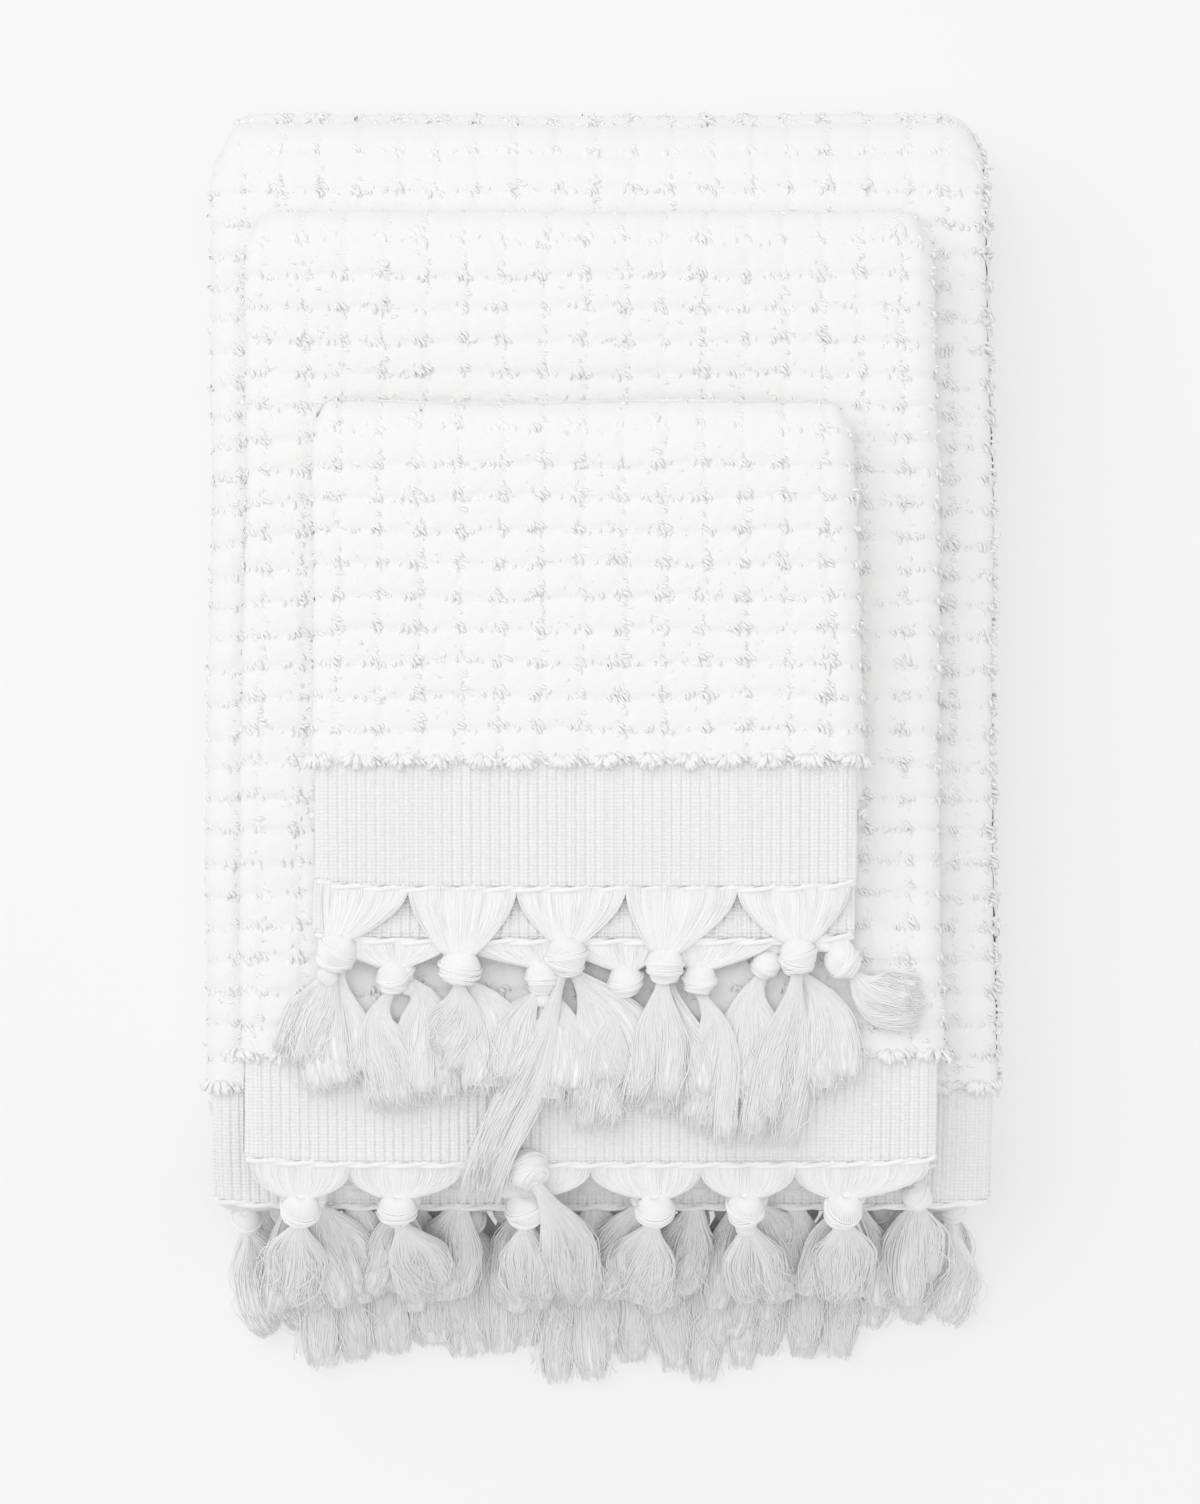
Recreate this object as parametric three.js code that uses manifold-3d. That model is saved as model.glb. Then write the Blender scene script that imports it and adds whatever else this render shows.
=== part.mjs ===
// A folded bath towel set: a bath towel, a hand towel and a wash cloth, stacked.
// Millimetres, +Z up. +X is to the right and the fringed ends lie at -Y.
// Each towel is waffle terry with a flat woven band, a twined cord and knotted
// tassels at both of its ends. The ends meet at the front of the stack.
import * as THREE from "three";
import { mergeVertices } from "three/addons/utils/BufferGeometryUtils.js";
import Module from "manifold-3d";

// ---- driving dimensions ----
const GAP = 0.4; // between touching layers and pieces
const BAND_GAP = 1.2; // from the terry to the sloping end of a band
const CORD_RADIUS = 1.3; // two-ply twined cord
const BAND_PLY = 1.7; // one layer of flat woven band
const RING_SIDES = 8; // sides of a tassel's cross-section
const ARC_STEPS = 10; // steps round one fold

// The bath towel: three layers wide in each leaf, four leaves long.
const BATH = {
  left: -122.5,
  right: 123.5,
  back: 206,
  terryFront: -108,
  foldFront: -126,
  leaf: 16.2, // thickness of one leaf
  plies: 3,
  cornerRadius: 16,
};

// The hand towel: two layers wide in each leaf, two leaves long.
const HAND = {
  left: -110.6,
  right: 104,
  back: 170.5,
  terryFront: -96,
  leaf: 11.8,
  plies: 2,
  cornerRadius: 11,
};

// The wash cloth: two layers wide in each leaf, two leaves long.
const WASH = {
  left: -87.4,
  right: 77.6,
  back: 109.4,
  terryFront: -3.5,
  lowerTerryFront: -20.5,
  leaf: 11.6,
  plies: 2,
  openGap: 0.8, // between the leaves, where the cloth opens like a book
};

const BATH_HEIGHT = 4 * BATH.leaf + 3 * GAP;
const HAND_BASE = BATH_HEIGHT + GAP;
const HAND_HEIGHT = 2 * HAND.leaf + GAP;
const WASH_BASE = HAND_BASE + HAND_HEIGHT + GAP;

// ---- colours: bleached cotton, with the flat weave a little cooler ----
const TERRY_COLOUR = 0xf3f2f0;
const BAND_COLOUR = 0xe6e6e5;
const CORD_COLOUR = 0xf5f5f4;
const TASSEL_COLOUR = 0xfafaf9;

const wasm = await Module();
wasm.setup();

const towelSet = new THREE.Group();

function addMesh(name, geometry, colour, roughness = 0.95) {
  const material = new THREE.MeshStandardMaterial({
    color: colour,
    roughness,
    metalness: 0,
  });
  const mesh = new THREE.Mesh(geometry, material);
  mesh.name = name;
  towelSet.add(mesh);
  return mesh;
}

// Turns a shape drawn in Y and Z and extruded by its depth into a solid that runs along X.
function alongX(shape, left, right) {
  const geometry = new THREE.ExtrudeGeometry(shape, {
    depth: right - left,
    bevelEnabled: false,
  });
  const turn = new THREE.Matrix4().makeBasis(
    new THREE.Vector3(0, 1, 0),
    new THREE.Vector3(0, 0, 1),
    new THREE.Vector3(1, 0, 0),
  );
  geometry.applyMatrix4(turn);
  geometry.translate(left, 0, 0);
  return geometry;
}

// The outline of a strip of even thickness that follows a centre line.
function stripShape(centreLine, thickness) {
  const sideA = [];
  const sideB = [];
  centreLine.forEach((point, i) => {
    const before = centreLine[Math.max(i - 1, 0)];
    const after = centreLine[Math.min(i + 1, centreLine.length - 1)];
    const along = after.clone().sub(before).normalize();
    const across = new THREE.Vector2(-along.y, along.x).multiplyScalar(thickness / 2);
    sideA.push(point.clone().add(across));
    sideB.unshift(point.clone().sub(across));
  });
  return new THREE.Shape([...sideA, ...sideB]);
}

// Points on a half circle from one leaf's centre line to another's.
function halfTurn(y, fromZ, toZ, towards) {
  const middle = (fromZ + toZ) / 2;
  const radius = (fromZ - toZ) / 2;
  const points = [];
  for (let i = 0; i <= ARC_STEPS; i += 1) {
    const angle = (Math.PI * i) / ARC_STEPS;
    const out = towards * Math.abs(radius) * Math.sin(angle);
    points.push(new THREE.Vector2(y + out, middle + radius * Math.cos(angle)));
  }
  return points;
}

function asManifold(geometry) {
  const bare = geometry.index ? geometry.toNonIndexed() : geometry.clone();
  bare.deleteAttribute("normal");
  bare.deleteAttribute("uv");
  const merged = mergeVertices(bare, 1e-3);
  return new wasm.Manifold(
    new wasm.Mesh({
      numProp: 3,
      vertProperties: merged.attributes.position.array,
      triVerts: new Uint32Array(merged.index.array),
    }),
  );
}

function asGeometry(solid) {
  const mesh = solid.getMesh();
  const geometry = new THREE.BufferGeometry();
  geometry.setAttribute(
    "position",
    new THREE.BufferAttribute(new Float32Array(mesh.vertProperties), 3),
  );
  geometry.setIndex(new THREE.BufferAttribute(mesh.triVerts, 1));
  geometry.computeVertexNormals();
  return geometry;
}

// A tall block whose two back corners are rounded, to trim a folded towel with.
function planTrim(towel, front) {
  const r = towel.cornerRadius;
  const plan = new THREE.Shape();
  plan.moveTo(towel.left, front);
  plan.lineTo(towel.right, front);
  plan.lineTo(towel.right, towel.back - r);
  plan.absarc(towel.right - r, towel.back - r, r, 0, Math.PI / 2);
  plan.lineTo(towel.left + r, towel.back);
  plan.absarc(towel.left + r, towel.back - r, r, Math.PI / 2, Math.PI);
  plan.lineTo(towel.left, front);
  return new THREE.ExtrudeGeometry(plan, {
    depth: 200,
    bevelEnabled: false,
    curveSegments: 6,
  }).translate(0, 0, -50);
}

// ---- bath towel: ends at the top two leaves, its middle folded at the front ----
function addBathCloth() {
  const pitch = BATH.leaf + GAP;
  const centre = [0, 1, 2, 3].map((i) => BATH.leaf / 2 + i * pitch);
  const backTurn = BATH.back - BATH_HEIGHT / 2;
  const frontTurn = BATH.foldFront + pitch / 2 + BATH.leaf / 2;
  const line = [
    new THREE.Vector2(BATH.terryFront, centre[3]),
    ...halfTurn(backTurn, centre[3], centre[0], 1),
    ...halfTurn(frontTurn, centre[0], centre[1], -1),
    ...halfTurn(backTurn, centre[1], centre[2], 1),
    new THREE.Vector2(BATH.terryFront, centre[2]),
  ];
  const ribbon = alongX(stripShape(line, BATH.leaf), BATH.left, BATH.right);
  const trimmed = asManifold(ribbon).intersect(
    asManifold(planTrim(BATH, BATH.foldFront - 10)),
  );
  addMesh("bath_terry_cloth", asGeometry(trimmed), TERRY_COLOUR);
}

// ---- hand towel: folded once, with both ends at the front ----
function addHandCloth() {
  const low = HAND_BASE + HAND.leaf / 2;
  const high = low + HAND.leaf + GAP;
  const line = [
    new THREE.Vector2(HAND.terryFront, high),
    ...halfTurn(HAND.back - HAND_HEIGHT / 2, high, low, 1),
    new THREE.Vector2(HAND.terryFront, low),
  ];
  const ribbon = alongX(stripShape(line, HAND.leaf), HAND.left, HAND.right);
  const trimmed = asManifold(ribbon).intersect(
    asManifold(planTrim(HAND, HAND.terryFront - 10)),
  );
  addMesh("hand_terry_cloth", asGeometry(trimmed), TERRY_COLOUR);
}

// ---- wash cloth: two leaves that open like a book about the back fold ----
function addWashLeaf(name, baseZ, front) {
  const r = WASH.leaf / 2 - 0.1;
  const width = WASH.right - WASH.left;
  const section = new THREE.Shape();
  section.moveTo(r, 0);
  section.lineTo(width - r, 0);
  section.absarc(width - r, r, r, -Math.PI / 2, 0);
  section.lineTo(width, WASH.leaf - r);
  section.absarc(width - r, WASH.leaf - r, r, 0, Math.PI / 2);
  section.lineTo(r, WASH.leaf);
  section.absarc(r, WASH.leaf - r, r, Math.PI / 2, Math.PI);
  section.lineTo(0, r);
  section.absarc(r, r, r, Math.PI, 1.5 * Math.PI);
  const geometry = new THREE.ExtrudeGeometry(section, {
    depth: WASH.back - GAP - front,
    bevelEnabled: false,
    curveSegments: 5,
  });
  geometry.rotateX(Math.PI / 2);
  geometry.translate(WASH.left, WASH.back - GAP, baseZ);
  addMesh(name, geometry, TERRY_COLOUR);
}

// A woven band: a strip whose points are [y, z] of its middle, with the cord along its free edge.
function addBandAndCord(towel, end, points) {
  const centreLine = points.map(([y, z]) => new THREE.Vector2(y, z));
  const thickness = towel.plies * BAND_PLY;
  const band = alongX(
    stripShape(centreLine, thickness),
    towel.left + 2,
    towel.right - 2,
  );
  addMesh(end + "_band", band, BAND_COLOUR, 0.85);

  const last = centreLine[centreLine.length - 1];
  const before = centreLine[centreLine.length - 2];
  const out = last.clone().sub(before).normalize();
  const at = last.clone().addScaledVector(out, CORD_RADIUS + GAP);
  const cord = new THREE.CylinderGeometry(
    CORD_RADIUS,
    CORD_RADIUS,
    towel.right - towel.left - 3,
    RING_SIDES,
  );
  cord.rotateZ(Math.PI / 2);
  cord.translate((towel.left + towel.right) / 2, at.x, at.y);
  addMesh(end + "_cord", cord, CORD_COLOUR);
}

// One tassel: warp threads that gather from the cord into a knot, then a loose skirt.
// Each station is [x, y, z, half width, half thickness].
function addTassel(name, stations) {
  const centres = stations.map(([x, y, z]) => new THREE.Vector3(x, y, z));
  const rings = stations.map(([, , , wide, thick], i) => {
    const before = centres[Math.max(i - 1, 0)];
    const after = centres[Math.min(i + 1, centres.length - 1)];
    const tangent = after.clone().sub(before);
    if (i === 0) tangent.x = 0; // the threads leave the cord in one straight row
    tangent.normalize();
    const sideways = new THREE.Vector3(-tangent.y, tangent.x, 0).normalize();
    const upwards = tangent.clone().cross(sideways);
    const ring = [];
    for (let k = 0; k < RING_SIDES; k += 1) {
      const angle = (2 * Math.PI * (k + 0.5)) / RING_SIDES;
      ring.push(
        centres[i]
          .clone()
          .addScaledVector(sideways, wide * Math.cos(angle))
          .addScaledVector(upwards, thick * Math.sin(angle)),
      );
    }
    return ring;
  });

  const triangles = [];
  for (let i = 0; i + 1 < rings.length; i += 1) {
    for (let k = 0; k < RING_SIDES; k += 1) {
      const next = (k + 1) % RING_SIDES;
      triangles.push(rings[i][k], rings[i][next], rings[i + 1][next]);
      triangles.push(rings[i][k], rings[i + 1][next], rings[i + 1][k]);
    }
  }
  const first = rings[0];
  const last = rings[rings.length - 1];
  for (let k = 1; k + 1 < RING_SIDES; k += 1) {
    triangles.push(first[0], first[k + 1], first[k]);
    triangles.push(last[0], last[k], last[k + 1]);
  }
  const geometry = new THREE.BufferGeometry().setFromPoints(triangles);
  geometry.computeVertexNormals();
  addMesh(name, geometry, TASSEL_COLOUR);
}

// A tassel's stations: its root on the cord, its knot, and the points its skirt passes through.
function tasselStations(root, knot, skirt, fanHalfWidth, knotRadius, skirtHalfWidth, skirtHalfThick) {
  const [rx, ry, rz] = root;
  const [kx, ky, kz] = knot;
  const towardsKnot = (share) => [
    rx + (kx - rx) * share,
    ry + (ky - ry) * share,
    rz + (kz - rz) * share,
  ];
  const stations = [
    [...towardsKnot(0), fanHalfWidth, 0.9],
    [...towardsKnot(0.5), fanHalfWidth * 0.6, 1.8],
    [...towardsKnot(0.72), knotRadius * 0.72, knotRadius * 0.7],
    [...knot, knotRadius, knotRadius],
  ];
  const [sx, sy, sz] = skirt[0];
  const dx = sx - kx;
  const dy = sy - ky;
  const dz = sz - kz;
  const away = Math.hypot(dx, dy, dz);
  const neck = Math.min(knotRadius * 0.95, away * 0.6) / away;
  stations.push([
    kx + dx * neck,
    ky + dy * neck,
    kz + dz * neck,
    skirtHalfWidth * 0.55,
    skirtHalfThick * 0.8,
  ]);
  skirt.forEach(([x, y, z], i) => {
    const tip = i === skirt.length - 1;
    stations.push([x, y, z, skirtHalfWidth * (tip ? 0.85 : 1), skirtHalfThick * (tip ? 0.6 : 1)]);
  });
  return stations;
}

addBathCloth();
addHandCloth();
addWashLeaf("wash_lower_leaf_terry", WASH_BASE, WASH.lowerTerryFront);
addWashLeaf("wash_upper_leaf_terry", WASH_BASE + WASH.leaf + WASH.openGap, WASH.terryFront);

addBandAndCord(BATH, "bath_upper", [
  [BATH.terryFront - BAND_GAP, 57.6],
  [-121, 56],
  [-134, 52.4],
  [-143.5, 48],
]);
addBandAndCord(BATH, "bath_lower", [
  [BATH.terryFront - BAND_GAP, 41],
  [-120, 38],
  [-131, 32],
  [-138, 25],
]);
addBandAndCord(HAND, "hand_upper", [
  [HAND.terryFront - BAND_GAP, 84.6],
  [-112, 83],
  [-128.5, 79],
]);
addBandAndCord(HAND, "hand_lower", [
  [HAND.terryFront - BAND_GAP, 72.2],
  [-110, 70.6],
  [-122, 66.8],
  [-132, 61.4],
]);
addBandAndCord(WASH, "wash_upper", [
  [WASH.terryFront - BAND_GAP, 109.2],
  [-20, 107.8],
  [-41, 104.2],
]);
addBandAndCord(WASH, "wash_lower", [
  [WASH.lowerTerryFront - BAND_GAP, 97],
  [-38, 96.2],
  [-58, 94],
]);

// ---- wash cloth tassels ----
const WASH_KNOT = 6.2;
const washUpper = [
  { root: -76, knot: [-82, -62, 101], skirt: [[-86, -76, 97], [-91, -90, 94.8], [-94, -101, 94.6]] },
  { root: -43, knot: [-43.6, -67, 100.6], skirt: [[-44, -80, 97], [-47, -90, 95], [-50, -99, 94.8]] },
  { root: -9, knot: [-10, -63, 101], skirt: [[-13, -80, 97], [-18, -100, 94.6], [-27, -122, 92], [-34, -143, 87]] },
  { root: 25, knot: [20.2, -66, 100.8], skirt: [[19, -82, 97], [17, -100, 94.6], [16, -116, 93]] },
  { root: 60, knot: [61.6, -63, 101], skirt: [[60, -80, 97], [56, -102, 94.6], [52, -124, 91.6]] },
];
washUpper.forEach(({ root, knot, skirt }, i) => {
  addTassel(
    "wash_upper_tassel_" + (i + 1),
    tasselStations([root, -45, 103.3], knot, skirt, i % 4 === 0 ? 9 : 14, WASH_KNOT, 6.6, 3.2),
  );
});

const washLower = [
  { root: -64, knot: [-65.4, -72, 96.8], skirt: [[-65, -86, 95.4], [-63, -101, 94.6], [-62.5, -116, 93.2]] },
  { root: -27, knot: [-27, -73, 96.6], skirt: [[-29, -82, 95.4], [-31.5, -92, 94.6]] },
  { root: 4, knot: [4.6, -73, 96.6], skirt: [[3, -88, 95.4], [0, -104, 94.6], [-2, -120, 92.6]] },
  { root: 37, knot: [37, -71, 96.8], skirt: [[38, -86, 95.4], [36, -104, 94.6], [33.5, -124, 91.6]] },
  { root: 71, knot: [77.4, -67, 97.4], skirt: [[84.5, -75, 96], [93, -78, 95], [102, -79.5, 94.6]] },
];
washLower.forEach(({ root, knot, skirt }, i) => {
  addTassel(
    "wash_lower_tassel_" + (i + 1),
    tasselStations([root, -62, 93.6], knot, skirt, i === 4 ? 5 : 9, 5.2, 5.4, 3),
  );
});

// ---- hand towel tassels, over the front of the stack ----
const HAND_UPPER_X = [-94.9, -64.2, -23.6, 17.4, 46, 77];
const HAND_LOWER_X = [-79.6, -44, -3.2, 31.6, 61.6, 98];
HAND_UPPER_X.forEach((x, i) => {
  const lean = i % 2 ? 2 : -1.5;
  addTassel(
    "hand_upper_tassel_" + (i + 1),
    tasselStations(
      [x, -131.6, 78],
      [x, -144.6, 73],
      [[x, -155, 60], [x + lean / 2, -166, 42], [x + lean, -177, 27], [x + lean, -187, 17]],
      i === 3 || i === 4 ? 12.5 : 13.5,
      6.2,
      6.6,
      3.6,
    ),
  );
});
HAND_LOWER_X.forEach((x, i) => {
  const lean = i % 2 ? -1 : 1;
  addTassel(
    "hand_lower_tassel_" + (i + 1),
    tasselStations(
      [x, -135, 59],
      [x, -144, 57.5],
      [[x, -152, 50], [x + lean / 2, -163, 39], [x + lean, -173, 26]],
      6,
      5,
      5.4,
      3,
    ),
  );
});

// ---- bath towel tassels, down the front and out over the surface below ----
const BATH_TASSELS = 10;
const BATH_TASSEL_PITCH = 24.2;
const BATH_FIRST_X = -115;
for (let i = 0; i < BATH_TASSELS; i += 1) {
  const x = BATH_FIRST_X + i * BATH_TASSEL_PITCH;
  const reach = i % 3 === 1 ? 6 : 0;
  addTassel(
    "bath_upper_tassel_" + (i + 1),
    tasselStations(
      [x, -146.6, 45.4],
      [x, -151.6, 35],
      [[x, -158, 22], [x, -168, 10.5], [x + 1, -184, 6], [x + 1, -204 - reach, 5]],
      9,
      5.4,
      6.6,
      4.4,
    ),
  );
  const between = x + BATH_TASSEL_PITCH / 2;
  addTassel(
    "bath_lower_tassel_" + (i + 1),
    tasselStations(
      [between, -139.6, 21],
      [between, -144, 13.5],
      [[between, -152, 6.5], [between, -168, 4.4], [between, -192 + reach, 4.2]],
      5,
      4.8,
      4.4,
      3.6,
    ),
  );
}

// The origin is the middle of the whole set's footprint, on the surface it rests on.
towelSet.updateMatrixWorld(true);
const bounds = new THREE.Box3().setFromObject(towelSet);
const middle = bounds.getCenter(new THREE.Vector3());
towelSet.position.set(-middle.x, -middle.y, -bounds.min.z);

export default towelSet;
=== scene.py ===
"""A stack of folded waffle terry towels: bath towel, hand towel and wash cloth.

Lengths in this script are millimetres, turned into metres when a mesh is made.
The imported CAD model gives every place: each towel is built round its own nodes.
"""

import math
from collections import namedtuple

import bpy
import numpy as np
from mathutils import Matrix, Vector


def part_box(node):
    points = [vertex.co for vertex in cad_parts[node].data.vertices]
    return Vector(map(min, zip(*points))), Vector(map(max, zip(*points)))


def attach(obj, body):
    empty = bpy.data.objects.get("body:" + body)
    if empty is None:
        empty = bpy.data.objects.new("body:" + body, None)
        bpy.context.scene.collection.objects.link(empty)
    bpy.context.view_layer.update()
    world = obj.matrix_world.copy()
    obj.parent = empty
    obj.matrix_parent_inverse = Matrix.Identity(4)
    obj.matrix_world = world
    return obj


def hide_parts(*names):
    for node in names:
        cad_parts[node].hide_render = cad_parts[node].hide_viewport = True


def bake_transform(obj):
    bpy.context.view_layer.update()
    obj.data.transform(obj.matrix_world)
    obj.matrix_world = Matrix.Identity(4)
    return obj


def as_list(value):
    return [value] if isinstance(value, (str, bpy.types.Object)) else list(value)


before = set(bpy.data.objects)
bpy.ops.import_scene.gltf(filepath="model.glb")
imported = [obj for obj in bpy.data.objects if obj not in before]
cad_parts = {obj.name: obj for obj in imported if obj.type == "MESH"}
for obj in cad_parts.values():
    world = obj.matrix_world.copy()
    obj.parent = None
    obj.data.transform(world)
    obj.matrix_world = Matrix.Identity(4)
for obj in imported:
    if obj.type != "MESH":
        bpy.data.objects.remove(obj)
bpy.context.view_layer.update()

MM = 0.001
SEED = 7
UP = np.array([0.0, 0.0, 1.0])

# ---- cloth ----
LEAF_GAP = 0.4  # between two leaves of a towel in the CAD model
GROUND = 1.1  # half the thickness of the woven ground under the pile
GROOVE = 0.5  # the pile's surface in a groove, above the ground
BLOCK_RISE = 1.4  # how far the middle of a pile block stands over its grooves
BLOCK_ACROSS = 12.6  # pitch of the pile blocks across the towel
BLOCK_ALONG = 10.2  # and along it
END_CLUSTER = 0.6  # how far the last loops' roots draw together in each block
SETTLE = np.array([0.5, -0.55, -0.05])  # the way the loops of the pile lie down
BACK_FULLNESS = 2.9  # how square the bath towel's outer back fold is
END_FADE = 2.0  # the pile comes down to the ground over this much at a cut end
LOOP_LENGTH = 3.2  # a loop of pile that stands clear, as a tuft
LOOP_RADIUS = 0.74
LAST_LOOPS = 0.8  # from the cut end of the terry to its last loops
CROWN = 1.2  # how far a towel's edges sag
SPREAD = 0.012  # share by which its front is wider, and its back narrower, than its middle

# ---- band and cord ----
BAND_WIDER = 1.4  # the real band reaches this much further out than the CAD one
BAND_PLY = 1.7  # one ply of a band in the CAD model
BAND_GAP = 1.2  # between the terry and the band in the CAD model
RIB_PITCH = 2.95  # ribs of the flat woven band
RIB_DEPTH = 0.8
PICK_PITCH = 1.15  # from one weft thread of a band to the next
WAVE_PERIOD = 0.1 * math.pi  # of Blender's wave texture at scale 1
RIB_SAMPLES = 8  # mesh columns to one rib
BAND_GROUND = 0.5  # half the band's thickness
BAND_TUCK = 3.0  # how far a band reaches into the terry
BAND_END_SHARE = 0.42  # how close its plies lie at the cord, as a share of their distance inside
CORD_STRAND = 0.85  # radius of one of the cord's two plies
CORD_SPREAD = 0.68  # how far a ply's centre winds out, as a share of its radius
CORD_TWIST = 23.0  # length of one full turn of the cord
CORD_BEYOND = 0.9  # from the band's last weft to the cord's centre
CORD_UPTURN = 2.0  # how far a band's front corners draw back

# ---- fans of tassels ----
HIDDEN_FAN = 8.0  # half the width of a fan that lies under another
FAN_THREAD = 0.3  # spacing of the threads of a fan at the cord
WEB_DEPTH = 1.2  # thickness of the layers of thread under them

# ---- limits of meshes ----
MOST_FACES = 190_000  # triangles in one piece
TUFT_TRIANGLES = 20
FLOOR_CLEAR = 0.05  # pile that would go under the floor is pressed flat at this height


def node_box(node):
    """A CAD node's lowest and highest corner, in millimetres."""
    low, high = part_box(node)
    return np.array(low) / MM, np.array(high) / MM


def unit(a):
    return a / np.maximum(np.linalg.norm(a, axis=-1, keepdims=True), 1e-9)


def smoothstep(x):
    x = np.clip(x, 0, 1)
    return x * x * (3 - 2 * x)


def wobble(a, b, seed, wave=60.0):
    """A slow, smooth, repeatable unevenness in about -1 to 1."""
    rng = np.random.default_rng([SEED, seed])
    total = 0
    for octave in range(4):
        k = 2 * math.pi / wave * (1.0 + 0.63 * octave)
        turn, shift = rng.uniform(0, 2 * math.pi, 2)
        along = a * math.cos(turn) + b * math.sin(turn)
        total = total + np.sin(k * along + shift) / (1 + octave)
    return total / 1.9


# ---- meshes ----


def add_object(name, data):
    thing = bpy.data.objects.new(name, data)
    bpy.context.scene.collection.objects.link(thing)
    return thing


def make_piece(name, verts, faces, material):
    """A smooth mesh object from vertices in millimetres and arrays of faces."""
    mesh = bpy.data.meshes.new(name)
    verts = np.asarray(verts, float) * MM
    verts[:, 2] = np.maximum(verts[:, 2], FLOOR_CLEAR * MM)
    loops = np.concatenate([f.ravel() for f in faces])
    sizes = np.concatenate([np.full(len(f), f.shape[1]) for f in faces])
    starts = np.concatenate([[0], np.cumsum(sizes)[:-1]])
    mesh.vertices.add(len(verts))
    mesh.vertices.foreach_set("co", verts.ravel().astype(np.float32))
    mesh.loops.add(len(loops))
    mesh.loops.foreach_set("vertex_index", loops.astype(np.int32))
    mesh.polygons.add(len(sizes))
    mesh.polygons.foreach_set("loop_start", starts.astype(np.int32))
    mesh.polygons.foreach_set("use_smooth", np.ones(len(sizes), bool))
    mesh.update(calc_edges=True)
    mesh.materials.append(material)
    return add_object(name, mesh)


def join_parts(parts):
    """One vertex array and face list out of several."""
    verts, faces, offset = [], [], 0
    for part_verts, part_faces in parts:
        verts.append(part_verts)
        faces += [f + offset for f in part_faces]
        offset += len(part_verts)
    return np.concatenate(verts), faces


def grid_faces(rows, columns):
    a = np.arange(rows * columns).reshape(rows, columns)
    corners = [a[:-1, :-1], a[1:, :-1], a[1:, 1:], a[:-1, 1:]]
    return np.stack(corners, -1).reshape(-1, 4)


def rim_faces(rows, columns):
    """Faces that join the rims of two equal grids, one after the other in the vertex list."""
    index = np.arange(rows * columns).reshape(rows, columns)
    rim = np.concatenate([index[0, :-1], index[:-1, -1], index[-1, :0:-1], index[:0:-1, 0]])
    after, total = np.roll(rim, -1), rows * columns
    return np.stack([rim, after, after + total, rim + total], -1)


def two_faced(upper, lower):
    """A closed sheet from the grids of points of its two faces."""
    rows, columns, _ = upper.shape
    faces = grid_faces(rows, columns)
    verts = np.concatenate([upper.reshape(-1, 3), lower.reshape(-1, 3)])
    return verts, [faces[:, ::-1], faces + rows * columns, rim_faces(rows, columns)]


def tube_faces(count, rings, sides):
    """The walls and caps of closed tubes, whose vertices run round each ring in turn."""
    index = np.arange(count * rings * sides).reshape(count, rings, sides)
    ahead = np.roll(index, -1, axis=2)
    walls = np.stack([index[:, :-1], index[:, 1:], ahead[:, 1:], ahead[:, :-1]], -1)
    caps = np.concatenate([index[:, 0], index[:, -1, ::-1]])
    return [walls.reshape(-1, 4), caps]


def tubes(paths, radii, sides, reference=(0.31, 0.17, 0.93)):
    """Closed round strands: paths is (strands, points, 3), radii fits (strands, points)."""
    count, points, _ = paths.shape
    tangent = unit(np.gradient(paths, axis=1))
    side = unit(np.cross(tangent, np.broadcast_to(np.asarray(reference), paths.shape)))
    over = np.cross(side, tangent)
    angle = (2 * np.pi * np.arange(sides) / sides)[:, None]
    radii = np.broadcast_to(radii, (count, points))[:, :, None, None]
    ring = side[:, :, None] * np.cos(angle) + over[:, :, None] * np.sin(angle)
    verts = (paths[:, :, None] + ring * radii).reshape(-1, 3)
    return verts, tube_faces(count, points, sides)


# ---- folded cloth ----


class Line:
    """A smooth line in a plane, followed by arc length, with the normal on its outer side."""

    def __init__(self, points, outer):
        kept = [points[0]]
        for p in points[1:]:
            if math.dist(p, kept[-1]) > 0.05:
                kept.append(p)
        self.points = np.array(kept, float)
        steps = np.linalg.norm(np.diff(self.points, axis=0), axis=1)
        self.s = np.concatenate([[0], np.cumsum(steps)])
        tangent = unit(np.gradient(self.points, self.s, axis=0))
        self.normals = outer * np.stack([tangent[:, 1], -tangent[:, 0]], -1)
        self.columns = [*self.points.T, *self.normals.T]
        self.length = self.s[-1]

    def at(self, s):
        found = np.stack([np.interp(s, self.s, column) for column in self.columns], -1)
        return found[..., :2], unit(found[..., 2:])

    def samples(self, step_straight, step_bend):
        """Places along the line, closer together where it bends."""
        turning = np.unwrap(np.arctan2(self.normals[:, 1], self.normals[:, 0]))
        bending = np.abs(np.gradient(turning, self.s)) > 0.01
        density = 1 / np.where(bending, step_bend, step_straight)
        steps = (density[1:] + density[:-1]) / 2 * np.diff(self.s)
        amount = np.concatenate([[0], np.cumsum(steps)])
        return np.interp(np.linspace(0, amount[-1], int(amount[-1]) + 2), amount, self.s)


def straight(start, end, step=2.0):
    count = max(int(math.dist(start, end) / step), 2)
    return [tuple(p) for p in np.linspace(start, end, count)]


def bend(centre, radii, first, last, steps=18, fullness=2.0):
    """Points round an ellipse, angles in degrees; a fullness over 2 makes it squarer."""
    angles = np.radians(np.linspace(first, last, steps))
    circle = np.cos(angles), np.sin(angles)
    across, over = (np.sign(f) * np.abs(f) ** (2 / fullness) for f in circle)
    return list(zip(centre[0] + radii[0] * across, centre[1] + radii[1] * over))


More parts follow.
